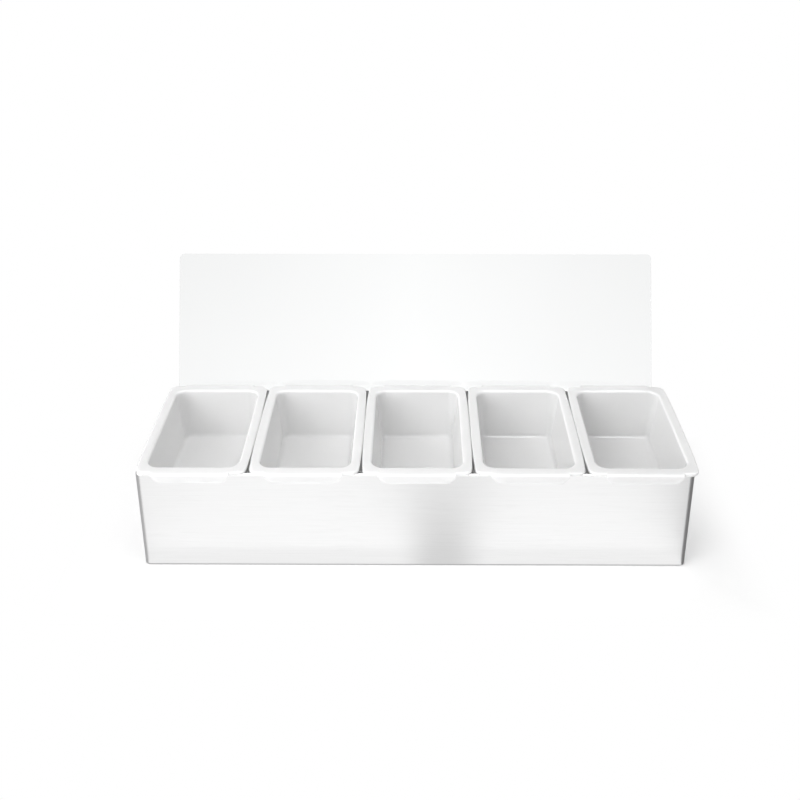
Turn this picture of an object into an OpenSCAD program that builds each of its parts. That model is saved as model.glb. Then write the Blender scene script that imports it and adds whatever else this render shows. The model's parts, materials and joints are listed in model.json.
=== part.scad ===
// Condiment caddy: a steel box, five lift-out inserts and one clear lid hinged at the back.
// The origin is the centre of the box's underside. +X is right, +Y is back, +Z is up.
// The lid is drawn standing open.

/* [Inserts] */
// Width of an insert over its rim, at the middle of the bowed sides
rim_w = 99.7; // [90:0.1:120]
// Depth of an insert over its rim, front to back, without the tabs
rim_d = 150; // [130:0.5:180]
// Thickness of the rim
rim_t = 3; // [2:0.1:4]
// Width of the flat rim, from its outer edge to the tub's wall
flange_w = 9; // [7.8:0.1:12]
// Radius of the rim's outer corners in plan
rim_corner_r = 8; // [4:0.5:14]
// Rounding of the rim's upper outer edge
rim_edge_r = 1.2; // [0.5:0.1:1.8]
// How far the long sides of the rim swell at their middle
rim_bow = 0.9; // [0.5:0.1:1.5]
// Gap between neighbouring rims where they come closest
rim_gap = 0.3; // [0.3:0.1:1.5]
// Radius of the roll where the rim turns down into the tub
roll_r = 2.2; // [1:0.1:3]
// Depth of the tub inside, from the top of the rim to the floor
tub_depth = 50; // [35:1:75]
// Lean of the tub's walls, in degrees
tub_draft = 6.6; // [2:0.1:7]
// Wall thickness of the tub
tub_wall = 1.8; // [1.2:0.1:2.2]
// Radius of the tub's upright corners at the top
tub_corner_r = 11; // [10:0.5:16]
// Radius between the tub's walls and floor, inside
tub_floor_r = 4; // [2:0.5:5]

/* [Grip tabs] */
// Width of a tab where it leaves the rim
tab_w = 68; // [50:1:72]
// Width of a tab along its lower edge
tab_end_w = 57; // [40:1:60]
// Height of a tab, from the top of the rim to its lower edge
tab_h = 9; // [7:0.5:9]
// How far a tab stands out from the rim
tab_reach = 3; // [2.6:0.1:5]
// Thickness of the hanging part of a tab
tab_t = 2; // [1.5:0.1:2.2]
// Rounding of a tab's lower corners
tab_corner_r = 2; // [1:0.5:2.5]
// Rounding of a tab's outer upper edge
tab_edge_r = 1.5; // [0.8:0.1:2]

/* [Box] */
// How far the row of rims is wider than the box, on each side
side_overhang = 2.5; // [2.3:0.1:3]
// How far the rims stand out past the box at the front and the rear
front_overhang = 1.5; // [1:0.1:2.5]
// How far the loose row of inserts lies to the right of the middle
row_shift = 2.1; // [-2.1:0.1:2.1]
// Height of the box, up to the lip that carries the inserts
box_h = 99; // [85:1:140]
// Thickness of the sheet steel
sheet = 0.8; // [0.6:0.1:1]
// Outer radius of the box's upright corners
box_corner_r = 5; // [4:0.5:8]
// Outer radius of the bend between walls and base
base_bend_r = 2; // [1.4:0.1:3]
// Outer radius of the bend between walls and lip
lip_bend_r = 1.6; // [1.2:0.1:1.8]
// Width of the lip, measured from the outside of the wall
lip_w = 2.4; // [2.1:0.1:2.5]

/* [Lid] */
// How far each end of the lid stands in from the side of the box
lid_side = 0.3; // [0:0.1:3]
// Thickness of the lid
lid_t = 3; // [2:0.5:4]
// Gap between the closed lid and the rims
lid_gap = 0.3; // [0.3:0.1:1.5]
// How far the closed lid reaches past the front tabs
lid_front = 0.5; // [0:0.5:6]
// Inner radius of the bend between the lid's plate and its rear leg
lid_bend_r = 2; // [1:0.5:2]
// Radius of the lid's front corners
lid_corner_r = 5; // [2:1:12]
// How far the lid opens, in degrees
lid_open = 113.6; // [95:0.1:115]

/* [Hinges] */
// Distance of each hinge from the middle
hinge_x = 150; // [80:5:200]
// Width of a hinge
hinge_w = 28; // [24:1:40]
// Height of the hinge axis below the middle of the closed lid's plate
hinge_drop = 24.2; // [22:0.1:30]
// Thickness of the hinge leaves
leaf_t = 1; // [0.8:0.1:1.2]
// Radius of the hinge pins
pin_r = 1.5; // [1.2:0.1:2]
// Clearance around the pins
pin_clear = 0.03; // [0.02:0.01:0.08]
// Radius of the pin heads
pin_head_r = 2.3; // [2.1:0.1:2.5]
// Thickness of the pin heads
pin_head_t = 0.8; // [0.5:0.1:1.5]
// Gap between neighbouring knuckles
knuckle_gap = 0.3; // [0.2:0.1:0.5]
// Width of the lid leaf's knuckle
lid_knuckle_w = 10; // [8:1:12]
// Height of the wall leaves below the hinge axis
wall_leaf_h = 20; // [16:1:26]
// Height of the lid leaves above the hinge axis
lid_leaf_h = 12.6; // [11:0.1:12.6]
// Radius of the leaves' outer corners
leaf_corner_r = 2; // [1:0.5:3]
// Height of the lid's rear edge above the hinge axis
leg_lift = 1.2; // [1.1:0.1:2]

/* [Fasteners] */
// Distance between the two fasteners of a leaf
fastener_pitch = 15; // [13:1:18]
// Distance of the wall rivets below the hinge axis
rivet_drop = 12.5; // [10:0.5:13]
// Radius of the wall rivets
rivet_r = 1.6; // [1.2:0.1:2]
// Radius of the rivets' heads
rivet_head_r = 3; // [2.5:0.1:3.5]
// Height of the rivets' domed heads
rivet_head_h = 1.1; // [0.8:0.1:1.5]
// Radius of the rivets' closed ends inside the box
rivet_end_r = 2.4; // [2.2:0.1:3]
// Height of the rivets' closed ends
rivet_end_h = 1; // [0.6:0.1:1.5]
// Distance of the lid screws above the hinge axis
screw_rise = 7.5; // [7:0.1:8]
// Radius of the lid screws
screw_r = 1.5; // [1.2:0.1:1.6]
// Radius of the screws' heads
screw_head_r = 2.8; // [2.4:0.1:3]
// Height of the screws' heads
screw_head_h = 1.7; // [1.2:0.1:2]
// Width of the screws' slots
slot_w = 0.8; // [0.6:0.1:1]
// Distance across the flats of the nuts
nut_flats = 5.5; // [5:0.1:6]
// Height of the nuts
nut_h = 1.6; // [1.2:0.1:2]
// How far the screws stand out of the nuts
screw_tip = 0.4; // [0.2:0.1:0.5]
// Clearance around rivets and screws in their holes
hole_clear = 0.1; // [0.05:0.05:0.2]

/* [Hidden] */
INSERT_COUNT = 5;
SIDES = ["left", "right"];
PAIR = [1, 2];
$fn = 48;
// Fineness of the shallow arcs along the rims
BOW_FN = 1800;
// Extra length of a cut that runs out through a face
over = 1;

pitch = rim_w + rim_gap;
row_w = INSERT_COUNT * rim_w + (INSERT_COUNT - 1) * rim_gap;
box_w = row_w - 2 * side_overhang;
box_d = rim_d - 2 * front_overhang;
rear_y = box_d / 2;
rim_top = box_h + rim_t;

bow_r = (pow(rim_d / 2, 2) + pow(rim_bow, 2)) / (2 * rim_bow);
bow_x = rim_w / 2 - bow_r;
corner_y = rim_d / 2 - rim_corner_r;
corner_x = bow_x + sqrt(pow(bow_r - rim_corner_r, 2) - pow(corner_y, 2));
bow_half = asin(corner_y / (bow_r - rim_corner_r));
// How far the strips of the rim's edge reach in under its middle
rim_lap = rim_corner_r / 2;

open_w = rim_w - 2 * flange_w;
open_d = rim_d - 2 * flange_w;
tub_lean = tan(tub_draft);
tub_skin = tub_wall / cos(tub_draft);

lid_w = box_w - 2 * lid_side;
barrel_r = pin_r + pin_clear + leaf_t;
axis_y = rear_y + barrel_r;
axis_z = rim_top + lid_gap + lid_t / 2 - hinge_drop;
plate_low = hinge_drop - lid_t / 2;
plate_front = rim_d / 2 + tab_reach + lid_front + axis_y;
leg_in = barrel_r;
side_knuckle_w = (hinge_w - lid_knuckle_w) / 2 - knuckle_gap;

// Unit vector from one point to another
function toward(a, b) = (b - a) / norm(b - a);
// Half of the angle at b between a and c
function half_angle(a, b, c) = acos(toward(b, a) * toward(b, c)) / 2;
// Where the rounding at b ends on the side towards a
function tangent(a, b, c, r) = b + toward(b, a) * r / tan(half_angle(a, b, c));
// Centre of the rounding at b
function centre(a, b, c, r) =
    b + toward([0, 0], toward(b, a) + toward(b, c)) * r / sin(half_angle(a, b, c));
function flat(p) = [p[0], p[1]];

// A convex outline whose corners [x, y, radius] are rounded with true arcs
module rounded(corners) {
    n = len(corners);
    polygon([
        for (i = [0:n - 1])
            let (
                a = flat(corners[(i + n - 1) % n]),
                b = flat(corners[i]),
                c = flat(corners[(i + 1) % n]),
                r = corners[i][2]
            )
            each r > 0 ? [tangent(a, b, c, r), tangent(c, b, a, r)] : [b]
    ]);
    for (i = [0:n - 1])
        if (corners[i][2] > 0)
            translate(centre(
                flat(corners[(i + n - 1) % n]), flat(corners[i]), flat(corners[(i + 1) % n]), corners[i][2]
            ))
                circle(r = corners[i][2]);
}

// A block with rounded upright corners whose outer section is the child, drawn from the corner's
// axis outwards. The child fills its height from low to high at the axis.
module section_block(w, d, r, low, high) {
    half_w = w / 2 - r;
    half_d = d / 2 - r;
    for (x = [0, 1], y = [0, 1])
        mirror([x, 0, 0]) mirror([0, y, 0])
            translate([half_w, half_d, 0]) rotate_extrude(angle = 90) intersection() {
                children();
                translate([0, low]) square([w, high - low]);
            }
    for (y = [0, 1])
        mirror([0, y, 0])
            rotate([90, 0, 90]) linear_extrude(2 * half_w, center = true)
                translate([half_d, 0]) children();
    for (x = [0, 1])
        mirror([x, 0, 0])
            rotate([90, 0, 0]) linear_extrude(2 * half_d, center = true)
                translate([half_w, 0]) children();
    translate([-half_w, -half_d, low]) cube([2 * half_w, 2 * half_d, high - low]);
}

// Section of a plain upright wall of radius r, rounded at its foot and at its top
module wall_section(r, low, high, foot_r, top_r)
    rounded([[0, low, 0], [r, low, foot_r], [r, high, top_r], [0, high, 0]]);

module box_body() color("silver") difference() {
    section_block(box_w, box_d, box_corner_r, 0, box_h)
        wall_section(box_corner_r, 0, box_h, base_bend_r, lip_bend_r);
    section_block(
        box_w - 2 * sheet, box_d - 2 * sheet, box_corner_r - sheet, sheet, box_h - sheet
    )
        wall_section(
            box_corner_r - sheet, sheet, box_h - sheet, base_bend_r - sheet, lip_bend_r - sheet
        );
    section_block(
        box_w - 2 * lip_w, box_d - 2 * lip_w, box_corner_r - lip_w, box_h / 2, box_h + over
    )
        wall_section(box_corner_r - lip_w, box_h / 2, box_h + over, 0, 0);
    for (s = SIDES, n = PAIR)
        at_rivet(s, n) rotate([90, 0, 0])
            cylinder(r = rivet_r + hole_clear, h = 2 * (sheet + over), center = true);
}

// Section of the tub's outside, from the middle of the rim's thickness down
module tub_section() {
    top = rim_t / 2;
    low = rim_t - tub_depth - tub_wall;
    outer_x = tub_corner_r + tub_skin;
    rounded([
        [0, low, 0],
        [outer_x - (rim_t - low) * tub_lean, low, tub_floor_r + tub_wall],
        [outer_x - (rim_t - top) * tub_lean, top, 0],
        [0, top, 0]
    ]);
}

// Section of the hollow, with the rolled edge where it opens through the rim
module hollow_section() {
    low = rim_t - tub_depth;
    high = rim_t + over;
    edge = [tub_corner_r, rim_t];
    foot = [tub_corner_r - tub_depth * tub_lean, low];
    out = [tub_corner_r + 2 * roll_r, rim_t];
    roll_c = centre(foot, edge, out, roll_r);
    roll_low = tangent(foot, edge, out, roll_r);
    roll_high = tangent(out, edge, foot, roll_r);
    rounded([
        [0, low, 0],
        [foot[0], low, tub_floor_r],
        [edge[0] + over * tub_lean, high, 0],
        [0, high, 0]
    ]);
    difference() {
        polygon([roll_c, roll_low, [0, roll_low[1]], [0, high], [roll_high[0], high], roll_high]);
        translate(roll_c) circle(r = roll_r);
    }
}

// Section of the rim's edge, from an inner line out to its rounded outer edge
module rim_section(inner, outer)
    rounded([[inner, 0, 0], [outer, 0, 0], [outer, rim_t, rim_edge_r], [inner, rim_t, 0]]);

// The flat rim: straight front and rear, round corners, and long sides on a shallow arc that runs
// smoothly into the corners
module rim_plate() {
    for (x = [-1, 1], y = [-1, 1])
        translate([x * corner_x, y * corner_y, 0]) rotate_extrude() rim_section(0, rim_corner_r);
    for (y = [0, 1])
        mirror([0, y, 0])
            rotate([90, 0, 90]) linear_extrude(2 * corner_x, center = true)
                rim_section(corner_y - rim_lap, rim_d / 2);
    for (x = [0, 1])
        mirror([x, 0, 0])
            translate([bow_x, 0, 0]) rotate([0, 0, -bow_half])
                rotate_extrude(angle = 2 * bow_half, $fn = BOW_FN)
                    rim_section(bow_r - rim_corner_r - rim_lap, bow_r);
    translate([rim_lap / 2 - corner_x, rim_lap / 2 - corner_y, 0])
        cube([2 * corner_x - rim_lap, 2 * corner_y - rim_lap, rim_t]);
}

// A grip tab at the rear: it leaves the rim level and turns down behind it
module grip_tab() {
    out = rim_d / 2 + tab_reach;
    root = rim_d / 2 - rim_edge_r - over;
    low = rim_t - tab_h;
    intersection() {
        rotate([90, 0, 90]) linear_extrude(tab_w + 2 * over, center = true) union() {
            rounded([[root, 0, 0], [out, 0, 0], [out, rim_t, tab_edge_r], [root, rim_t, 0]]);
            translate([out - tab_t, low]) square([tab_t, tab_h - tab_edge_r]);
        }
        translate([0, out + over, 0]) rotate([90, 0, 0]) linear_extrude(out) rounded([
            [-tab_end_w / 2, low, tab_corner_r],
            [tab_end_w / 2, low, tab_corner_r],
            [tab_w / 2, 0, 0],
            [tab_w / 2, rim_t + over, 0],
            [-tab_w / 2, rim_t + over, 0],
            [-tab_w / 2, 0, 0]
        ]);
    }
}

// One insert. Its seat, the underside of the rim, is at z = 0
module insert() difference() {
    floor_z = rim_t - tub_depth;
    union() {
        rim_plate();
        section_block(open_w, open_d, tub_corner_r, floor_z - tub_wall, rim_t / 2) tub_section();
        for (y = [0, 1]) mirror([0, y, 0]) grip_tab();
    }
    section_block(open_w, open_d, tub_corner_r, floor_z, rim_t + over) hollow_section();
}

module insert_at(i) color("whitesmoke")
    translate([(i - (INSERT_COUNT + 1) / 2) * pitch + row_shift, 0, box_h]) insert();

// Puts what is drawn about the hinge axis, with the lid closed, where it is with the lid open
module on_lid() translate([0, axis_y, axis_z]) rotate([-lid_open, 0, 0]) children();

function side_x(s) = (s == "left" ? -1 : 1) * hinge_x;
function fastener_x(s, n) = side_x(s) + (n == 1 ? -0.5 : 0.5) * fastener_pitch;

module at_rivet(s, n) translate([fastener_x(s, n), rear_y, axis_z - rivet_drop]) children();
module at_screw(s, n) translate([fastener_x(s, n), leg_in, screw_rise]) children();

// The lid: a plate over the inserts and a leg down behind them, bent from one sheet. It is drawn
// closed, with the hinge axis at the origin
module lid() color("azure", 0.35) on_lid() difference() {
    outer_r = lid_bend_r + lid_t;
    top = plate_low + lid_t;
    intersection() {
        rotate([90, 0, 90]) linear_extrude(lid_w, center = true) difference() {
            rounded([
                [-plate_front, leg_lift, 0],
                [leg_in + lid_t, leg_lift, 0],
                [leg_in + lid_t, top, outer_r],
                [-plate_front, top, 0]
            ]);
            rounded([
                [-plate_front - over, leg_lift - over, 0],
                [leg_in, leg_lift - over, 0],
                [leg_in, plate_low, lid_bend_r],
                [-plate_front - over, plate_low, 0]
            ]);
        }
        linear_extrude(top + over) rounded([
            [-lid_w / 2, -plate_front, lid_corner_r],
            [lid_w / 2, -plate_front, lid_corner_r],
            [lid_w / 2, leg_in + lid_t + over, 0],
            [-lid_w / 2, leg_in + lid_t + over, 0]
        ]);
    }
    for (s = SIDES, n = PAIR)
        at_screw(s, n) rotate([90, 0, 0])
            cylinder(r = screw_r + hole_clear, h = 2 * (lid_t + over), center = true);
}

// A rolled knuckle around the hinge axis, from x = 0 to its width
module knuckle(w) rotate([0, 90, 0]) difference() {
    cylinder(r = barrel_r, h = w);
    translate([0, 0, -over]) cylinder(r = pin_r + pin_clear, h = w + 2 * over);
}

// A flat leaf in the plane y = 0, hanging from z = 0, with its lower corners rounded
module leaf_plate(h) translate([0, leaf_t, 0]) rotate([90, 0, 0]) linear_extrude(leaf_t) rounded([
    [-hinge_w / 2, -h, leaf_corner_r],
    [hinge_w / 2, -h, leaf_corner_r],
    [hinge_w / 2, 0, 0],
    [-hinge_w / 2, 0, 0]
]);

// Clears the room that another leaf's knuckle turns in
module knuckle_room(x, w) translate([x, -barrel_r - over, -barrel_r - knuckle_gap])
    cube([w, 2 * (barrel_r + over), 2 * (barrel_r + knuckle_gap)]);

module pin_bore() rotate([0, 90, 0]) cylinder(r = pin_r + pin_clear, h = hinge_w + 2 * over, center = true);

module wall_leaf(s) color("gainsboro") difference() {
    translate([side_x(s), axis_y, axis_z]) {
        difference() {
            translate([0, -barrel_r, 0]) leaf_plate(wall_leaf_h);
            knuckle_room(-lid_knuckle_w / 2 - knuckle_gap, lid_knuckle_w + 2 * knuckle_gap);
            pin_bore();
        }
        for (x = [-hinge_w / 2, hinge_w / 2 - side_knuckle_w])
            translate([x, 0, 0]) knuckle(side_knuckle_w);
    }
    for (n = PAIR)
        at_rivet(s, n) rotate([90, 0, 0])
            cylinder(r = rivet_r + hole_clear, h = 2 * (leaf_t + over), center = true);
}

module lid_leaf(s) color("gainsboro") on_lid() difference() {
    translate([side_x(s), 0, 0]) {
        difference() {
            translate([0, barrel_r - leaf_t, 0]) mirror([0, 0, 1]) leaf_plate(lid_leaf_h);
            for (x = [-hinge_w / 2 - over, lid_knuckle_w / 2])
                knuckle_room(x, side_knuckle_w + knuckle_gap + over);
            pin_bore();
        }
        translate([-lid_knuckle_w / 2, 0, 0]) knuckle(lid_knuckle_w);
    }
    for (n = PAIR)
        at_screw(s, n) rotate([90, 0, 0])
            cylinder(r = screw_r + hole_clear, h = 2 * (leaf_t + over), center = true);
}

module hinge_pin(s) color("silver") translate([side_x(s), axis_y, axis_z]) rotate([0, 90, 0]) {
    cylinder(r = pin_r, h = hinge_w, center = true);
    for (z = [0, 1])
        mirror([0, 0, z]) translate([0, 0, hinge_w / 2]) cylinder(r = pin_head_r, h = pin_head_t);
}

// A low dome of radius r and height h standing on z = 0
module dome(r, h) {
    ball_r = (pow(r, 2) + pow(h, 2)) / (2 * h);
    rotate_extrude() intersection() {
        square([r, h]);
        translate([0, h - ball_r]) circle(r = ball_r, $fn = 160);
    }
}

module wall_rivet(s, n) color("silver") at_rivet(s, n) rotate([-90, 0, 0]) {
    translate([0, 0, -sheet]) cylinder(r = rivet_r, h = sheet + leaf_t);
    translate([0, 0, leaf_t]) dome(rivet_head_r, rivet_head_h);
    translate([0, 0, -sheet]) mirror([0, 0, 1]) cylinder(r = rivet_end_r, h = rivet_end_h);
}

module lid_screw(s, n) color("silver") on_lid() at_screw(s, n) rotate([-90, 0, 0]) {
    tip = leaf_t + nut_h + screw_tip;
    translate([0, 0, -tip]) cylinder(r = screw_r, h = tip + lid_t);
    translate([0, 0, lid_t]) difference() {
        dome(screw_head_r, screw_head_h);
        translate([-screw_head_r, -slot_w / 2, screw_head_h / 2])
            cube([2 * screw_head_r, slot_w, screw_head_h]);
    }
}

module lid_nut(s, n) color("silver") on_lid() at_screw(s, n)
    rotate([90, 0, 0]) translate([0, 0, leaf_t]) difference() {
        cylinder(d = nut_flats / cos(30), h = nut_h, $fn = 6);
        translate([0, 0, -over]) cylinder(r = screw_r + pin_clear, h = nut_h + 2 * over);
    }

box_body();
for (i = [1:INSERT_COUNT])
    insert_at(i);
lid();
for (s = SIDES) {
    wall_leaf(s);
    lid_leaf(s);
    hinge_pin(s);
    for (n = PAIR) {
        wall_rivet(s, n);
        lid_screw(s, n);
        lid_nut(s, n);
    }
}
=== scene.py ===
"""Condiment caddy: a brushed steel box, five lift-out white inserts and one clear hinged lid."""

import json
import math

import bmesh
import bpy
from mathutils import Matrix, Vector


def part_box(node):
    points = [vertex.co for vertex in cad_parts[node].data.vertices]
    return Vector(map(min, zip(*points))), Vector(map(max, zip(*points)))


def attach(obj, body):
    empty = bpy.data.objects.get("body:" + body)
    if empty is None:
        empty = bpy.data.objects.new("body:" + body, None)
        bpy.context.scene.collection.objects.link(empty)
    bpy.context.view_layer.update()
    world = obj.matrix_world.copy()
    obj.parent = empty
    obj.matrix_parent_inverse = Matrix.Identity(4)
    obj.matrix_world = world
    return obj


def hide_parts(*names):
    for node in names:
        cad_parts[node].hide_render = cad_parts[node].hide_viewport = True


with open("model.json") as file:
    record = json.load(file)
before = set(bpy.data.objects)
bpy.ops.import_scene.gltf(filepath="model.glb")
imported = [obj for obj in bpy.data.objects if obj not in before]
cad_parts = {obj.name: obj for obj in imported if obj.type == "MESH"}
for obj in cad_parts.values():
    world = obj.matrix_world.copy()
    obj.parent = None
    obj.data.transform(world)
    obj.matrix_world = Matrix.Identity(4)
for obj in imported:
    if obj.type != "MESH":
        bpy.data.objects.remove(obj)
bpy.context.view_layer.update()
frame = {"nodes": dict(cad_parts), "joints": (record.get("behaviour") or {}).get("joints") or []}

MM = 0.001
SIDES = ("left", "right")
PAIR = (1, 2)
INSERTS = [f"insert_{i}" for i in range(1, 6)]

# Sheets and the lid's edges, in millimetres
SHEET = 0.8
LEAF_T = 1.0
LID_T = 3.0
EDGE_POLISH = 0.3

# Wall rivets, in millimetres
RIVET_R = 1.6
RIVET_HEAD_R = 3.0
RIVET_HEAD_H = 1.1
RIVET_RIM = 0.08
RIVET_END_R = 2.4
RIVET_END_H = 1.0
RIVET_END_EASE = 0.5
MANDREL_R = 0.75
MANDREL_EASE = 0.1
MANDREL_GAP = 0.12
MANDREL_SINK = (0.2, 0.55, 0.6)

# Lid screws and nuts, in millimetres
SCREW_R = 1.5
SCREW_POINT = 0.35
SCREW_TIP = 0.4
SCREW_LEAD = 0.3
SCREW_HEAD_R = 2.8
SCREW_HEAD_H = 1.7
SCREW_RIM = 0.1
SCREW_RISE = 7.5
LEG_IN = 2.53
SLOT_W = 0.8
THREAD_STEP = 0.5
THREAD_DEPTH = 0.2
NUT_FLATS = 5.5
NUT_CORNER = NUT_FLATS / (2 * math.cos(math.pi / 6))
NUT_SPARE = 0.02
NUT_H = 1.6
NUT_EASE = 0.35
BORE_EASE = 0.03
BORE_MOUTH = 0.4
BORE_LEAD = 0.15
DOME_STEPS = 8
TURN_STEPS = 32
CUTTER = 20.0

# The inserts' rims, in millimetres
RIM_FLANGE = 6.0
RIM_HALF_D = 75.0
RIM_BOW = 0.9
RIM_SWELL = 0.12
RIM_DRAW = 2.1

# How meshes are cleaned, in metres and degrees
DOUBLE = 2e-6
SLIVER = 1e-6
FLAT_BELOW = 0.5
SHARP_ABOVE = 50
FASTENER_SMOOTH = 40
LID_SMOOTH = 20


# Node helpers


def link(tree, source, target):
    tree.links.new(source, target)


def feed(tree, socket, value):
    """Sets a socket to a number or a colour, or links another node's output to it."""
    if isinstance(value, tuple):
        socket.default_value = (*value, 1.0)
    elif isinstance(value, (int, float)):
        socket.default_value = value
    else:
        link(tree, value, socket)


def grey(tone):
    return (tone, tone, tone)


def add_node(tree, kind, **values):
    """A node of the given kind. Values name its properties."""
    node = tree.nodes.new(kind)
    for key, value in values.items():
        setattr(node, key, value)
    return node


def math_node(tree, operation, a, b=None, clamp=False):
    """A Math node's output. Each input is a number or another node's output."""
    node = add_node(tree, "ShaderNodeMath", operation=operation, use_clamp=clamp)
    feed(tree, node.inputs[0], a)
    if b is not None:
        feed(tree, node.inputs[1], b)
    return node.outputs[0]


def ranged(tree, value, low, high, to_low=0.0, to_high=1.0, smooth=False):
    """Maps a value from one range to another and keeps it inside."""
    node = add_node(tree, "ShaderNodeMapRange")
    node.interpolation_type = "SMOOTHSTEP" if smooth else "LINEAR"
    for name, number in (
        ("From Min", low),
        ("From Max", high),
        ("To Min", to_low),
        ("To Max", to_high),
    ):
        node.inputs[name].default_value = number
    link(tree, value, node.inputs["Value"])
    return node.outputs["Result"]


def mixed(tree, share, a, b):
    """A colour between a and b."""
    node = add_node(tree, "ShaderNodeMix", data_type="RGBA")
    for index, value in ((0, share), (6, a), (7, b)):
        feed(tree, node.inputs[index], value)
    return node.outputs[2]


def noise(tree, vector, scale, detail, rough=0.5, warp=0.0):
    node = add_node(tree, "ShaderNodeTexNoise")
    link(tree, vector, node.inputs["Vector"])
    feed(tree, node.inputs["Scale"], scale)
    node.inputs["Detail"].default_value = detail
    node.inputs["Roughness"].default_value = rough
    node.inputs["Distortion"].default_value = warp
    return node.outputs["Fac"]


def split(tree, vector):
    """The three numbers of a vector."""
    node = add_node(tree, "ShaderNodeSeparateXYZ")
    link(tree, vector, node.inputs[0])
    return node.outputs


def vector_of(tree, x=0.0, y=0.0, z=0.0):
    node = add_node(tree, "ShaderNodeCombineXYZ")
    for socket, value in zip(node.inputs, (x, y, z)):
        feed(tree, socket, value)
    return node.outputs[0]


def new_group(name, inputs, outputs):
    """A shader node group. Inputs and outputs map names to socket types or to default values."""
    tree = bpy.data.node_groups.new(name, "ShaderNodeTree")
    for label, value in inputs.items():
        kind = "NodeSocketFloat" if isinstance(value, (int, float)) else "NodeSocketVector"
        socket = tree.interface.new_socket(label, in_out="INPUT", socket_type=kind)
        if isinstance(value, (int, float)):
            socket.default_value = value
    for label, kind in outputs.items():
        tree.interface.new_socket(label, in_out="OUTPUT", socket_type=kind)
    return tree, tree.nodes.new("NodeGroupInput"), tree.nodes.new("NodeGroupOutput")


def use_group(tree, group, **values):
    node = add_node(tree, "ShaderNodeGroup", node_tree=group)
    for name, value in values.items():
        feed(tree, node.inputs[name], value)
    return node


# Shared surface effects


STROKE_ACROSS = 0.4
STROKE_ALONG = 2.5
PATCH_SIZE = 22.0
PEEL_SHARE = 0.25
HAIRLINES = (
    ((0.2, 0.1, 0.5), (1.0, 0.035, 1.0)),
    ((-0.1, 0.3, -0.9), (0.04, 1.0, 1.0)),
)


def make_brushing():
    """Level brushing: long fine lines from 0 to 1, and short feathered strokes."""
    tree, given, out = new_group(
        "brushing",
        {"Place": None, "Across": 900.0, "Along": 18.0, "Stroke": 0.5},
        {"Lines": "NodeSocketFloat", "Strokes": "NodeSocketFloat"},
    )
    axes = split(tree, given.outputs["Place"])

    def stretched(across, along):
        scales = (along, along, across)
        return vector_of(
            tree,
            *(math_node(tree, "MULTIPLY", axis, scale) for axis, scale in zip(axes, scales)),
        )

    across, along = given.outputs["Across"], given.outputs["Along"]
    fine = noise(tree, stretched(across, along), 1.0, 4.0, 0.6)
    link(tree, ranged(tree, fine, 0.25, 0.75), out.inputs["Lines"])
    wider = math_node(tree, "MULTIPLY", across, STROKE_ACROSS)
    shorter = math_node(tree, "MULTIPLY", along, STROKE_ALONG)
    short = noise(tree, stretched(wider, shorter), 1.0, 3.0, 0.55, 0.6)
    patches = noise(tree, given.outputs["Place"], PATCH_SIZE, 2.0)
    strokes = math_node(
        tree, "MULTIPLY", ranged(tree, short, 0.5, 0.72), ranged(tree, patches, 0.38, 0.62)
    )
    link(tree, math_node(tree, "MULTIPLY", strokes, given.outputs["Stroke"]), out.inputs["Strokes"])
    return tree


def make_handling():
    """Marks of handling: soft clouds, and hairline scuffs in two turned directions."""
    tree, given, out = new_group(
        "handling",
        {"Place": None, "Size": 14.0, "Scuff Size": 1300.0},
        {"Clouds": "NodeSocketFloat", "Scuffs": "NodeSocketFloat"},
    )
    clouds = noise(tree, given.outputs["Place"], given.outputs["Size"], 2.0, 0.5, 0.2)
    link(tree, ranged(tree, clouds, 0.25, 0.75, smooth=True), out.inputs["Clouds"])
    hairlines = []
    for turn_by, stretch in HAIRLINES:
        turn = add_node(tree, "ShaderNodeMapping")
        turn.inputs["Rotation"].default_value = turn_by
        turn.inputs["Scale"].default_value = stretch
        link(tree, given.outputs["Place"], turn.inputs["Vector"])
        thin = noise(tree, turn.outputs[0], given.outputs["Scuff Size"], 1.0, 0.4)
        hairlines.append(ranged(tree, thin, 0.7, 0.8))
    link(tree, math_node(tree, "MAXIMUM", *hairlines), out.inputs["Scuffs"])
    return tree


def make_mould_skin():
    """The skin of moulded plastic: a fine orange peel over slow swells."""
    tree, given, out = new_group(
        "mould_skin",
        {"Place": None, "Peel": 1400.0, "Swell": 45.0},
        {"Height": "NodeSocketFloat"},
    )
    peel = noise(tree, given.outputs["Place"], given.outputs["Peel"], 2.0)
    swell = noise(tree, given.outputs["Place"], given.outputs["Swell"], 2.0)
    fine = math_node(tree, "MULTIPLY", peel, PEEL_SHARE)
    slow = math_node(tree, "MULTIPLY", swell, 1.0 - PEEL_SHARE)
    link(tree, math_node(tree, "ADD", fine, slow), out.inputs["Height"])
    return tree


BRUSHING = make_brushing()
HANDLING = make_handling()
MOULD_SKIN = make_mould_skin()


# Materials

LINES_TONE = 0.8
LINES_ROUGH = 0.6
CLOUDS_ROUGH = 0.4


def new_material(name, **values):
    """A material with one Principled shader. Values set its sockets."""
    material = bpy.data.materials.new(name)
    material.use_nodes = True
    tree = material.node_tree
    shader = tree.nodes["Principled BSDF"]
    for key, value in values.items():
        shader.inputs[key.replace("_", " ")].default_value = value
    place = add_node(tree, "ShaderNodeTexCoord").outputs["Object"]
    return material, tree, shader, place


def bump(tree, height, distance):
    node = add_node(tree, "ShaderNodeBump")
    node.inputs["Strength"].default_value = 1.0
    node.inputs["Distance"].default_value = distance
    link(tree, height, node.inputs["Height"])
    return node.outputs["Normal"]


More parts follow.
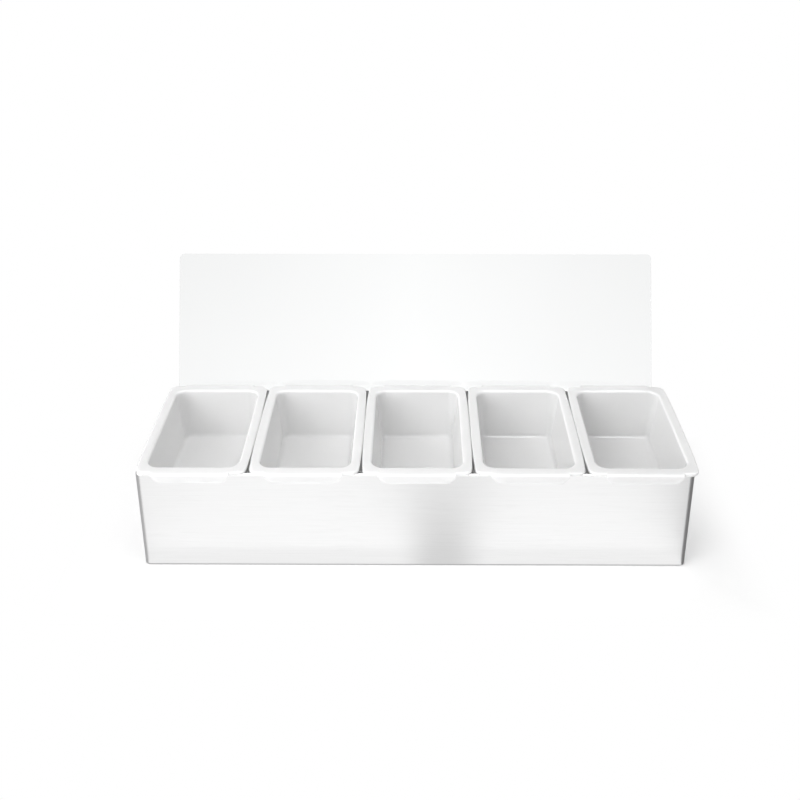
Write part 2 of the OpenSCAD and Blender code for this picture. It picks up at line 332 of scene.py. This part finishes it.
def steel(name, tones, roughness, across, along, stroke, anisotropic, depth):
    """Brushed steel between two tones and two roughnesses. Depth is the brushing's, in metres."""
    material, tree, shader, place = new_material(name, Metallic=1.0, Anisotropic=anisotropic)
    brushed = use_group(tree, BRUSHING, Place=place, Across=across, Along=along, Stroke=stroke)
    lines, strokes = brushed.outputs["Lines"], brushed.outputs["Strokes"]
    clouds = use_group(tree, HANDLING, Place=place).outputs["Clouds"]
    light = math_node(tree, "MULTIPLY", lines, LINES_TONE)
    dark = math_node(tree, "MULTIPLY", strokes, LINES_TONE)
    tone = math_node(tree, "SUBTRACT", light, dark, clamp=True)
    link(tree, mixed(tree, tone, *tones), shader.inputs["Base Color"])
    rough = math_node(
        tree,
        "ADD",
        math_node(tree, "MULTIPLY", lines, LINES_ROUGH),
        math_node(tree, "MULTIPLY", clouds, CLOUDS_ROUGH),
    )
    link(tree, ranged(tree, rough, 0.0, 1.0, *roughness), shader.inputs["Roughness"])
    relief = math_node(tree, "SUBTRACT", lines, strokes)
    link(tree, bump(tree, relief, depth), shader.inputs["Normal"])
    if anisotropic:
        tangent = add_node(tree, "ShaderNodeTangent", direction_type="RADIAL", axis="Z")
        link(tree, tangent.outputs[0], shader.inputs["Tangent"])
    return material


def handled_roughness(tree, marks, low, high, scuff):
    """A roughness that drifts with the clouds and rises on the scuffs."""
    clouds = ranged(tree, marks.outputs["Clouds"], 0.0, 1.0, low, high)
    scuffs = math_node(tree, "MULTIPLY", marks.outputs["Scuffs"], scuff)
    return math_node(tree, "ADD", clouds, scuffs)


WHITE_TINTS = (grey(0.81), grey(0.82))
WHITE_SCUFFED = grey(0.72)
WHITE_SCUFF_SHARE = 0.25
WHITE_ROUGHNESS = (0.15, 0.18, 0.03)
WHITE_SKIN_DEPTH = 0.00006
CLEAR_TINTS = ((0.962, 0.968, 0.967), (0.97, 0.976, 0.975))
CLEAR_ROUGHNESS = (0.0, 0.02, 0.06)
CLEAR_MARK_SIZE = 9.0
PLASTIC_IOR = 1.49


def make_white_plastic():
    """Glossy white moulded plastic with a faint skin, and softer gloss where it is handled."""
    material, tree, shader, place = new_material(
        "white_plastic", IOR=PLASTIC_IOR, Subsurface_Weight=0.8, Subsurface_Scale=0.007
    )
    shader.inputs["Subsurface Radius"].default_value = (1.0, 1.0, 1.0)
    skin = use_group(tree, MOULD_SKIN, Place=place)
    marks = use_group(tree, HANDLING, Place=place)
    scuffed = math_node(tree, "MULTIPLY", marks.outputs["Scuffs"], WHITE_SCUFF_SHARE)
    tint = mixed(tree, marks.outputs["Clouds"], *WHITE_TINTS)
    link(tree, mixed(tree, scuffed, tint, WHITE_SCUFFED), shader.inputs["Base Color"])
    rough = handled_roughness(tree, marks, *WHITE_ROUGHNESS)
    link(tree, rough, shader.inputs["Roughness"])
    relief = bump(tree, skin.outputs["Height"], WHITE_SKIN_DEPTH)
    link(tree, relief, shader.inputs["Normal"])
    return material


def make_clear_plastic():
    """Clear polished sheet with faint wipe marks."""
    material, tree, shader, place = new_material(
        "clear_plastic", Transmission_Weight=1.0, IOR=PLASTIC_IOR
    )
    marks = use_group(tree, HANDLING, Place=place, Size=CLEAR_MARK_SIZE)
    tint = mixed(tree, marks.outputs["Clouds"], *CLEAR_TINTS)
    link(tree, tint, shader.inputs["Base Color"])
    rough = handled_roughness(tree, marks, *CLEAR_ROUGHNESS)
    link(tree, rough, shader.inputs["Roughness"])
    return material


box_steel = steel(
    "box_steel",
    tones=(grey(0.92), grey(0.98)),
    roughness=(0.285, 0.325),
    across=1100.0,
    along=16.0,
    stroke=0.6,
    anisotropic=0.75,
    depth=0.000012,
)
hinge_steel = steel(
    "hinge_steel",
    tones=((0.66, 0.66, 0.67), (0.76, 0.76, 0.77)),
    roughness=(0.285, 0.34),
    across=2600.0,
    along=300.0,
    stroke=0.3,
    anisotropic=0.0,
    depth=0.000012,
)
fastener_steel = steel(
    "fastener_steel",
    tones=((0.58, 0.58, 0.60), (0.70, 0.70, 0.72)),
    roughness=(0.2, 0.26),
    across=3200.0,
    along=2400.0,
    stroke=0.3,
    anisotropic=0.0,
    depth=0.00001,
)
white_plastic = make_white_plastic()
clear_plastic = make_clear_plastic()


def dress(node_name, material):
    """Gives a CAD node its material."""
    for slot in frame["nodes"][node_name].material_slots:
        slot.material = material


dress("box_body", box_steel)
for side in SIDES:
    dress(f"{side}_wall_leaf", hinge_steel)
    dress(f"{side}_lid_leaf", hinge_steel)
    dress(f"{side}_hinge_pin", fastener_steel)


# Rivets, screws and nuts


def geometry_group(name, inputs):
    """A Geometry Nodes tree. Inputs map names to (socket type, default)."""
    tree = bpy.data.node_groups.new(name, "GeometryNodeTree")
    tree.interface.new_socket("Geometry", in_out="INPUT", socket_type="NodeSocketGeometry")
    for label, (kind, value) in inputs.items():
        socket = tree.interface.new_socket(label, in_out="INPUT", socket_type=f"NodeSocket{kind}")
        if value is not None:
            socket.default_value = value
    tree.interface.new_socket("Geometry", in_out="OUTPUT", socket_type="NodeSocketGeometry")
    return tree, tree.nodes.new("NodeGroupInput"), tree.nodes.new("NodeGroupOutput")


def turned(tree, profile, segments):
    """Turns a profile, drawn with its radius along X and its height along Z, round the Z axis."""
    size = add_node(tree, "GeometryNodeAttributeDomainSize", component="MESH")
    link(tree, profile, size.inputs[0])
    count = size.outputs["Point Count"]
    last = math_node(tree, "SUBTRACT", count, 1.0)
    grid = add_node(tree, "GeometryNodeMeshGrid")
    link(tree, last, grid.inputs["Size X"])
    grid.inputs["Size Y"].default_value = 2 * math.pi
    link(tree, count, grid.inputs["Vertices X"])
    link(tree, math_node(tree, "ADD", segments, 1.0), grid.inputs["Vertices Y"])
    across, angle, _ = split(tree, tree.nodes.new("GeometryNodeInputPosition").outputs[0])
    row = math_node(tree, "ADD", across, math_node(tree, "DIVIDE", last, 2.0))
    taken = add_node(tree, "GeometryNodeSampleIndex", data_type="FLOAT_VECTOR", domain="POINT")
    link(tree, profile, taken.inputs["Geometry"])
    link(tree, tree.nodes.new("GeometryNodeInputPosition").outputs[0], taken.inputs["Value"])
    link(tree, math_node(tree, "ROUND", row), taken.inputs["Index"])
    radius, _, height = split(tree, taken.outputs[0])
    x = math_node(tree, "MULTIPLY", radius, math_node(tree, "COSINE", angle))
    y = math_node(tree, "MULTIPLY", radius, math_node(tree, "SINE", angle))
    place = add_node(tree, "GeometryNodeSetPosition")
    link(tree, grid.outputs["Mesh"], place.inputs["Geometry"])
    link(tree, vector_of(tree, x, y, height), place.inputs["Position"])
    closed = add_node(tree, "GeometryNodeMergeByDistance")
    closed.inputs["Distance"].default_value = SLIVER
    link(tree, place.outputs[0], closed.inputs["Geometry"])
    return closed.outputs[0]


def cut(tree, body, tool, operation):
    """A body less a tool, or what a body and a tool share."""
    node = add_node(tree, "GeometryNodeMeshBoolean", operation=operation)
    if operation == "DIFFERENCE":
        link(tree, body, node.inputs["Mesh 1"])
    else:
        link(tree, body, node.inputs["Mesh 2"])
    link(tree, tool, node.inputs["Mesh 2"])
    return node.outputs["Mesh"]


def spread(tree, part, count, distance):
    """Copies of a part in a row along X, centred."""
    row = add_node(tree, "GeometryNodeMeshLine")
    row.inputs["Count"].default_value = count
    link(tree, vector_of(tree, distance), row.inputs["Offset"])
    half = math_node(tree, "MULTIPLY", distance, -0.5 * (count - 1))
    link(tree, vector_of(tree, half), row.inputs["Start Location"])
    put = add_node(tree, "GeometryNodeInstanceOnPoints")
    link(tree, row.outputs["Mesh"], put.inputs["Points"])
    link(tree, part, put.inputs["Instance"])
    return put.outputs["Instances"]


def make_fastener_group(name, slot=False, hexagon=False):
    """Turned fasteners, a pair to each of two hinges, with a slot or six flats where asked."""
    inputs = {
        "Segments": ("Int", TURN_STEPS),
        "Pitch": ("Float", 0.015),
        "Hinge Distance": ("Float", 0.3),
        "Steel": ("Material", None),
    }
    if slot:
        inputs["Slot Width"] = ("Float", SLOT_W * MM)
        inputs["Slot Bottom"] = ("Float", 0.001)
    if hexagon:
        inputs["Across Flats"] = ("Float", NUT_FLATS * MM)
    tree, given, out = geometry_group(name, inputs)
    part = turned(tree, given.outputs["Geometry"], given.outputs["Segments"])
    if slot:
        cube = add_node(tree, "GeometryNodeMeshCube")
        long = CUTTER * MM
        link(tree, vector_of(tree, long, given.outputs["Slot Width"], long), cube.inputs["Size"])
        move = add_node(tree, "GeometryNodeTransform")
        link(tree, cube.outputs["Mesh"], move.inputs["Geometry"])
        lift = math_node(tree, "ADD", given.outputs["Slot Bottom"], long / 2)
        link(tree, vector_of(tree, 0.0, 0.0, lift), move.inputs["Translation"])
        part = cut(tree, part, move.outputs[0], "DIFFERENCE")
    if hexagon:
        prism = add_node(tree, "GeometryNodeMeshCylinder")
        prism.inputs["Vertices"].default_value = 6
        to_corner = NUT_CORNER / NUT_FLATS
        corner = math_node(tree, "MULTIPLY", given.outputs["Across Flats"], to_corner)
        link(tree, corner, prism.inputs["Radius"])
        prism.inputs["Depth"].default_value = CUTTER * MM
        part = cut(tree, part, prism.outputs["Mesh"], "INTERSECT")
    pair = spread(tree, part, len(PAIR), given.outputs["Pitch"])
    both = spread(tree, pair, len(SIDES), given.outputs["Hinge Distance"])
    real = add_node(tree, "GeometryNodeRealizeInstances")
    link(tree, both, real.inputs[0])
    coat = add_node(tree, "GeometryNodeSetMaterial")
    link(tree, real.outputs[0], coat.inputs["Geometry"])
    link(tree, given.outputs["Steel"], coat.inputs["Material"])
    link(tree, coat.outputs[0], out.inputs[0])
    return tree


def finish_mesh(mesh, smooth_below):
    """Merges doubles, points the faces outwards, and smooths all but the sharp edges."""
    work = bmesh.new()
    work.from_mesh(mesh)
    bmesh.ops.remove_doubles(work, verts=work.verts, dist=DOUBLE)
    bmesh.ops.dissolve_degenerate(work, edges=work.edges, dist=SLIVER)
    bmesh.ops.recalc_face_normals(work, faces=work.faces)
    work.to_mesh(mesh)
    work.free()
    for face in mesh.polygons:
        face.use_smooth = True
    mesh.set_sharp_from_angle(angle=math.radians(smooth_below))


def placed(name, data):
    """A new object at the origin."""
    made = bpy.data.objects.new(name, data)
    bpy.context.scene.collection.objects.link(made)
    return made


def middle_x(node):
    low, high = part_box(node)
    return (low.x + high.x) / 2


def make_fasteners(name, group, kind, profile, place, body, **values):
    """Runs a fastener tree on a profile. The piece made stands for the CAD fasteners."""
    mesh = bpy.data.meshes.new(name + "_profile")
    points = [(r * MM, 0.0, h * MM) for r, h in profile]
    mesh.from_pydata(points, [(i, i + 1) for i in range(len(points) - 1)], [])
    source = placed(name + "_profile", mesh)
    grow = source.modifiers.new("fasteners", "NODES")
    grow.node_group = group
    first, second = (middle_x(f"left_{kind}_{n}") for n in PAIR)
    other = middle_x(f"right_{kind}_{PAIR[0]}")
    values = {
        "Pitch": second - first,
        "Hinge Distance": other - first,
        "Steel": fastener_steel,
        **values,
    }
    for item in group.interface.items_tree:
        if item.in_out == "INPUT" and item.name in values:
            grow[item.identifier] = values[item.name]
    graph = bpy.context.evaluated_depsgraph_get()
    made_mesh = bpy.data.meshes.new_from_object(source.evaluated_get(graph))
    source.modifiers.clear()
    bpy.data.objects.remove(source)
    made_mesh.transform(place)
    finish_mesh(made_mesh, FASTENER_SMOOTH)
    made = placed(name, made_mesh)
    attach(made, body)
    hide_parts(*[f"{side}_{kind}_{n}" for side in SIDES for n in PAIR])


def dome_points(radius, height, base, inner=0.0):
    """Points of a low dome's profile, from its rim up to the inner radius."""
    ball = (radius**2 + height**2) / (2 * height)
    points = []
    for i in range(DOME_STEPS + 1):
        r = radius + (inner - radius) * i / DOME_STEPS
        points.append((r, base + height - ball + math.sqrt(ball**2 - r**2)))
    return points


def thread_points(radius, low, high):
    """A threaded length from high down to low, as a row of sharp grooves."""
    count = max(1, round((high - low) / THREAD_STEP))
    step = (high - low) / count
    points = []
    for i in range(count):
        top = high - i * step
        points += [(radius, top), (radius - THREAD_DEPTH, top - step / 2)]
    return points + [(radius, low)]


hinge_axis = Vector(frame["joints"][0]["pos_m"])
lid_turn = math.radians(frame["joints"][0]["range_deg"][0])
on_lid = Matrix.Translation(hinge_axis) @ Matrix.Rotation(lid_turn, 4, "X")
to_rear = Matrix.Rotation(-math.pi / 2, 4, "X")

rivet_low, rivet_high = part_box("left_wall_rivet_1")
rivet_y = rivet_high.y - (LEAF_T + RIVET_HEAD_H) * MM
rivet_z = (rivet_low.z + rivet_high.z) / 2
rivet_place = Matrix.Translation((0, rivet_y, rivet_z)) @ to_rear
rivet_end = -SHEET - RIVET_END_H
rivet_top = LEAF_T + RIVET_HEAD_H
mouth, waist, bottom = (rivet_top - sink for sink in MANDREL_SINK)
rivet_profile = [
    (0.0, rivet_end),
    (MANDREL_R, rivet_end),
    (MANDREL_R + MANDREL_EASE, rivet_end + 2 * MANDREL_EASE),
    (RIVET_END_R - RIVET_END_EASE, rivet_end + MANDREL_EASE),
    (RIVET_END_R, rivet_end + RIVET_END_EASE),
    (RIVET_END_R, -SHEET),
    (RIVET_R, -SHEET),
    (RIVET_R, LEAF_T),
    (RIVET_HEAD_R - RIVET_RIM, LEAF_T),
    *dome_points(RIVET_HEAD_R, RIVET_HEAD_H, LEAF_T, MANDREL_R + MANDREL_GAP),
    (MANDREL_R, mouth),
    (MANDREL_R - MANDREL_EASE, waist),
    (0.0, bottom),
]
make_fasteners(
    "wall_rivets",
    make_fastener_group("rivet_rows"),
    "wall_rivet",
    rivet_profile,
    rivet_place,
    "housing",
)

screw_place = on_lid @ Matrix.Translation((0, LEG_IN * MM, SCREW_RISE * MM)) @ to_rear
screw_end = -LEAF_T - NUT_H - SCREW_TIP
screw_profile = [
    (0.0, screw_end),
    (SCREW_R - SCREW_POINT, screw_end),
    *thread_points(SCREW_R, screw_end + SCREW_LEAD, -LEAF_T)[::-1],
    (SCREW_R, LID_T),
    (SCREW_HEAD_R - SCREW_RIM, LID_T),
    *dome_points(SCREW_HEAD_R, SCREW_HEAD_H, LID_T),
]
make_fasteners(
    "lid_screws",
    make_fastener_group("screw_rows", slot=True),
    "lid_screw",
    screw_profile,
    screw_place,
    "lid",
    **{"Slot Width": SLOT_W * MM, "Slot Bottom": (LID_T + SCREW_HEAD_H / 2) * MM},
)
nut_end = -LEAF_T - NUT_H
bore = SCREW_R + BORE_EASE + THREAD_DEPTH
nut_profile = [
    *thread_points(bore, nut_end + BORE_LEAD, -LEAF_T - BORE_LEAD),
    (SCREW_R + BORE_MOUTH, nut_end),
    (NUT_FLATS / 2, nut_end),
    (NUT_CORNER + NUT_SPARE, nut_end + NUT_EASE),
    (NUT_CORNER + NUT_SPARE, -LEAF_T - NUT_EASE),
    (NUT_FLATS / 2, -LEAF_T),
    (SCREW_R + BORE_MOUTH, -LEAF_T),
    (bore, -LEAF_T - BORE_LEAD),
]
make_fasteners(
    "lid_nuts",
    make_fastener_group("nut_rows", hexagon=True),
    "lid_nut",
    nut_profile,
    screw_place,
    "lid",
    **{"Across Flats": NUT_FLATS * MM},
)


# The lid with its polished edges, and the inserts


def make_lid():
    """The lid's sheet with its sawn edges polished to a small round."""
    work = bmesh.new()
    work.from_mesh(frame["nodes"]["lid"].data)
    bmesh.ops.remove_doubles(work, verts=work.verts, dist=DOUBLE)
    bmesh.ops.dissolve_limit(
        work, angle_limit=math.radians(FLAT_BELOW), verts=work.verts, edges=work.edges
    )
    limit = math.radians(SHARP_ABOVE)
    sharp = [e for e in work.edges if e.is_manifold and e.calc_face_angle() > limit]
    bmesh.ops.bevel(
        work,
        geom=sharp,
        offset=EDGE_POLISH * MM,
        segments=2,
        profile=0.5,
        affect="EDGES",
        clamp_overlap=True,
    )
    mesh = bpy.data.meshes.new("lid_sheet")
    work.to_mesh(mesh)
    work.free()
    finish_mesh(mesh, LID_SMOOTH)
    mesh.materials.append(clear_plastic)
    made = placed("lid_sheet", mesh)
    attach(made, "lid")
    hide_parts("lid")


def make_insert(name):
    """An insert whose long sides nearly touch the next one's and are drawn in at their ends."""
    source = frame["nodes"][name].data
    normals = [corner.vector.copy() for corner in source.corner_normals]
    work = bmesh.new()
    work.from_mesh(source)
    bmesh.ops.remove_doubles(work, verts=work.verts, dist=DOUBLE)
    low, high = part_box(name)
    middle = middle_x(name)
    flange_start = high.x - middle - RIM_FLANGE * MM
    for vert in work.verts:
        aside = vert.co.x - middle
        share = min(1.0, max(0.0, (abs(aside) - flange_start) / (RIM_FLANGE * MM)))
        along = min(1.0, abs(vert.co.y) / (RIM_HALF_D * MM))
        inwards = (RIM_DRAW * along**4 - RIM_BOW * along**2 - RIM_SWELL) * MM
        drawn = vert.co.x - share**2 * inwards * math.copysign(1.0, aside)
        vert.co.x = min(max(drawn, ROW_START), ROW_END)
    mesh = bpy.data.meshes.new("white_" + name)
    work.to_mesh(mesh)
    work.free()
    for face in mesh.polygons:
        face.use_smooth = True
    mesh.normals_split_custom_set(normals)
    mesh.materials.append(white_plastic)
    made = placed("white_" + name, mesh)
    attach(made, name)
    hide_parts(name)


make_lid()
ROW_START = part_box(INSERTS[0])[0].x
ROW_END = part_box(INSERTS[-1])[1].x
for name in INSERTS:
    make_insert(name)

# Floor, backdrop and light

box_low, box_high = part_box("box_body")
FLOOR_HALF = 6.0
FLOOR_TONE = 0.92
SHADE_REACH = 0.075
SHADE_DEPTH = (-0.06, 0.06)
SHADE_FRONT = 0.75
SHADE_REAR = 0.35
MIRROR_GLOW = 0.85


def plane(name, corners, material):
    mesh = bpy.data.meshes.new(name)
    mesh.from_pydata(corners, [], [list(range(len(corners)))])
    mesh.materials.append(material)
    made = placed(name, mesh)
    return made


def bare_material(name):
    """A material with nothing in it but its output."""
    material = bpy.data.materials.new(name)
    material.use_nodes = True
    tree = material.node_tree
    tree.nodes.clear()
    return material, tree, add_node(tree, "ShaderNodeOutputMaterial").inputs["Surface"]


def make_floor_material():
    """A pale floor that shows white, and near the object keeps its shadow."""
    material, tree, surface = bare_material("studio_floor")
    path = add_node(tree, "ShaderNodeLightPath")
    axes = split(tree, add_node(tree, "ShaderNodeTexCoord").outputs["Object"])
    half = (box_high - box_low) / 2
    beside = [
        math_node(tree, "SUBTRACT", math_node(tree, "ABSOLUTE", axes[i]), half[i]) for i in range(2)
    ]
    near = ranged(tree, math_node(tree, "MAXIMUM", *beside), 0.0, SHADE_REACH, 1.0, 0.0, True)
    depth = ranged(tree, axes[1], *SHADE_DEPTH, SHADE_FRONT, SHADE_REAR, True)
    away = math_node(tree, "SUBTRACT", 1.0, math_node(tree, "MULTIPLY", near, depth))
    matt = add_node(tree, "ShaderNodeBsdfDiffuse")
    feed(tree, matt.inputs["Color"], grey(FLOOR_TONE))
    glow = add_node(tree, "ShaderNodeEmission")
    seen = math_node(
        tree, "MAXIMUM", path.outputs["Is Camera Ray"], path.outputs["Is Transmission Ray"]
    )
    share = math_node(tree, "MULTIPLY", seen, away)
    mirrored = math_node(tree, "MULTIPLY", path.outputs["Is Glossy Ray"], MIRROR_GLOW)
    mix = add_node(tree, "ShaderNodeMixShader")
    link(tree, math_node(tree, "MAXIMUM", share, mirrored), mix.inputs[0])
    link(tree, matt.outputs[0], mix.inputs[1])
    link(tree, glow.outputs[0], mix.inputs[2])
    link(tree, mix.outputs[0], surface)
    return material


plane(
    "studio_floor",
    [(x * FLOOR_HALF, y * FLOOR_HALF, 0) for x, y in ((-1, -1), (1, -1), (1, 1), (-1, 1))],
    make_floor_material(),
)


# Cards that only glossy surfaces mirror: painted reflections that the camera, diffuse light and
# shadows never meet. The band cards paint the soft dark stripe on the box's front.
# All are in metres. A band card fades at its sides, along lines drawn from the eye.
CARD_LIFT = 0.001
CARD_FAR = 1.35
CARD_TOP = 0.34
FACE_Y = 0.0745
EYE_AWAY = 0.83
BAND_X = 0.026
BAND_CORE = 0.006
BAND_FADE = 0.044
BAND_TONE = 0.5
BAND_FLOOR_TONE = 0.70
SIDE_START = 0.2455
SIDE_END = 1.6
SIDE_FRONT = -1.0
SIDE_REAR = 0.9
# Painted reflections: dark floor cards beside the box, seen only in reflections, darken its rounded
# corner strips.
SIDE_CARDS = (
    ("right_dark_reflection_card", 0.17, 1, (0.75, -1.3)),
    ("left_dark_reflection_card", 0.42, -1, (0.95, -1.0)),
)
# Painted shade: dark floor cards round the box's foot, seen only in reflections, stand in for the
# contact shadow under its lower bend and the shade on the floor just in front.
PAINTED_SHADE_CARDS = (("painted_contact_shadow_card", 0.4, 0.0015, 0.5), ("painted_floor_shade_card", 0.93, 0.024, 0.3))


def mirror_card(name, tone, corners, band=False):
    """A dim card that only glossy surfaces mirror: a painted reflection."""
    material, tree, surface = bare_material(name)
    glow = add_node(tree, "ShaderNodeEmission")
    feed(tree, glow.inputs["Color"], grey(tone))
    if band:
        x, y, _ = split(tree, add_node(tree, "ShaderNodeTexCoord").outputs["Object"])
        reach = math_node(tree, "DIVIDE", math_node(tree, "ADD", y, FACE_Y), -EYE_AWAY)
        on_face = math_node(tree, "DIVIDE", x, math_node(tree, "ADD", reach, 1.0))
        aside = math_node(tree, "ABSOLUTE", math_node(tree, "SUBTRACT", on_face, BAND_X))
        mix = add_node(tree, "ShaderNodeMixShader")
        link(tree, ranged(tree, aside, BAND_CORE, BAND_FADE, 1.0, 0.0, True), mix.inputs[0])
        link(tree, add_node(tree, "ShaderNodeBsdfTransparent").outputs[0], mix.inputs[1])
        link(tree, glow.outputs[0], mix.inputs[2])
        link(tree, mix.outputs[0], surface)
    else:
        link(tree, glow.outputs[0], surface)
    card = plane(name, corners, material)
    card.visible_camera = False
    card.visible_diffuse = False
    card.visible_transmission = False
    card.visible_shadow = False


near_left, near_right = BAND_X - BAND_FADE, BAND_X + BAND_FADE
far_left, far_right = (
    x * (1 + (CARD_FAR - FACE_Y) / EYE_AWAY) for x in (near_left, near_right)
)
# Painted reflection: the band cards put the soft dark stripe on the box's front.
mirror_card(
    "band_reflection_card",
    BAND_TONE,
    [
        (far_left, -CARD_FAR, CARD_LIFT),
        (far_right, -CARD_FAR, CARD_LIFT),
        (far_right, -CARD_FAR, CARD_TOP),
        (far_left, -CARD_FAR, CARD_TOP),
    ],
    band=True,
)
mirror_card(
    "band_floor_reflection_card",
    BAND_FLOOR_TONE,
    [
        (near_left, -FACE_Y, CARD_LIFT),
        (far_left, -CARD_FAR, CARD_LIFT),
        (far_right, -CARD_FAR, CARD_LIFT),
        (near_right, -FACE_Y, CARD_LIFT),
    ],
    band=True,
)
# Painted reflections on the box's corner strips.
for name, tone, side, turn in SIDE_CARDS:
    outline = (
        (SIDE_START, -FACE_Y),
        turn,
        (SIDE_END, SIDE_FRONT),
        (SIDE_END, SIDE_END),
        (SIDE_START, SIDE_REAR),
    )
    mirror_card(name, tone, [(side * x, y, CARD_LIFT) for x, y in outline])
# Painted contact shadow and floor shade, seen only in reflections.
for name, tone, width, lift in PAINTED_SHADE_CARDS:
    wide, deep = box_high.x + width, box_high.y + width
    outline = ((-wide, -deep), (wide, -deep), (wide, deep), (-wide, deep))
    mirror_card(name, tone, [(x, y, CARD_LIFT * lift) for x, y in outline])

# What glossy and transmission rays see, by direction: painted reflections that diffuse light never
# meets, with a front that is bright low down and dark above, a painted highlight overhead and
# darker sides. Each pair is where a change starts and ends.
WHITE = grey(1.0)
FILL = grey(0.45)
FRONT_START = (0.3, 0.6)
FRONT_FALL = (0.34, 0.52)
FRONT_GLOW = 1.7
WIDE_SHARE = 0.5
# Painted highlight: a bright patch overhead that only reflections see; it gives the inserts' floor
# fillets their crisp light lines.
OVERHEAD_HIGHLIGHT = grey(8.0)
OVERHEAD_RISE = (0.8, 0.9)
OVERHEAD_SIDE = (-0.02, 0.1)
# Painted reflections: darker sides that only reflections see, which darken the box's rounded corner
# strips.
RIGHT_DARK_REFLECTION = grey(0.22)
RIGHT_START = (0.42, 0.85)
LEFT_DARK_REFLECTION = grey(0.55)
LEFT_START = (0.55, 0.9)
THROUGH_FALL = (0.15, 0.3)


def make_world():
    """White where the camera looks, an even grey fill for diffuse light, and painted reflections
    for glossy and transmission rays.
    """
    world = bpy.data.worlds.new("studio")
    bpy.context.scene.world = world
    world.use_nodes = True
    tree = world.node_tree
    tree.nodes.clear()
    path = add_node(tree, "ShaderNodeLightPath")
    side, depth, height = split(tree, add_node(tree, "ShaderNodeTexCoord").outputs["Generated"])

    def turned_on(value, change):
        return ranged(tree, value, *change, 0.0, 1.0, True)

    wide = math_node(tree, "MULTIPLY", math_node(tree, "ABSOLUTE", side), WIDE_SHARE)
    rise = math_node(tree, "ADD", height, wide)
    dim = ranged(tree, rise, *FRONT_FALL, FRONT_GLOW, 0.0)
    front = turned_on(math_node(tree, "MULTIPLY", depth, -1.0), FRONT_START)
    room = mixed(tree, front, WHITE, dim)
    above = math_node(
        tree, "MULTIPLY", turned_on(height, OVERHEAD_RISE), turned_on(side, OVERHEAD_SIDE)
    )
    room = mixed(tree, above, room, OVERHEAD_HIGHLIGHT)
    room = mixed(tree, turned_on(side, RIGHT_START), room, RIGHT_DARK_REFLECTION)
    left = turned_on(math_node(tree, "MULTIPLY", side, -1.0), LEFT_START)
    room = mixed(tree, left, room, LEFT_DARK_REFLECTION)
    through = path.outputs["Is Transmission Ray"]
    bent = math_node(tree, "MAXIMUM", path.outputs["Is Glossy Ray"], through)
    fill = mixed(tree, bent, FILL, room)
    level = ranged(tree, height, *THROUGH_FALL, 1.0, 0.0, True)
    clear = math_node(tree, "MULTIPLY", through, level)
    seen = math_node(tree, "MAXIMUM", path.outputs["Is Camera Ray"], clear)
    back = add_node(tree, "ShaderNodeBackground")
    link(tree, mixed(tree, seen, fill, WHITE), back.inputs["Color"])
    out = add_node(tree, "ShaderNodeOutputWorld")
    link(tree, back.outputs[0], out.inputs["Surface"])


make_world()


def softbox(name, at, aim, width, height, power):
    """A large soft lamp. The camera doesn't see it, but glossy surfaces mirror it."""
    data = bpy.data.lights.new(name, "AREA")
    data.shape = "RECTANGLE"
    data.size, data.size_y = width, height
    data.energy = power
    lamp = placed(name, data)
    lamp.location = at
    lamp.rotation_euler = (Vector(aim) - Vector(at)).to_track_quat("-Z", "Y").to_euler()
    lamp.visible_camera = False


RIM_CENTRE = (0, 0, 0.05)
softbox("key_lamp", at=(-1.8, -1.8, 1.4), aim=RIM_CENTRE, width=2.0, height=2.0, power=54.0)
softbox("side_lamp", at=(1.8, -1.7, 1.3), aim=RIM_CENTRE, width=1.2, height=1.2, power=4.5)
softbox(
    "top_lamp", at=(-0.08, -0.2, 0.68), aim=(-0.03, 0, 0.05), width=0.5, height=0.4, power=1.8
)

# Camera, in metres and degrees

CAMERA_AT = (0.0008, -0.830, 0.629)
CAMERA_DOWN = 22.08
CAMERA_TURN = 0.248
CAMERA_LENS = 46.04
CAMERA_SHIFT = (-0.015, -0.2)

camera_data = bpy.data.cameras.new("camera")
camera_data.sensor_width = 36.0
camera_data.lens = CAMERA_LENS
camera_data.shift_x, camera_data.shift_y = CAMERA_SHIFT
camera_data.clip_start = 0.05
camera_data.clip_end = 50.0
camera = placed("camera", camera_data)
camera.location = CAMERA_AT
camera.rotation_euler = (math.radians(90 - CAMERA_DOWN), 0.0, math.radians(CAMERA_TURN))
bpy.context.scene.camera = camera
bpy.context.scene.view_settings.view_transform = "Standard"
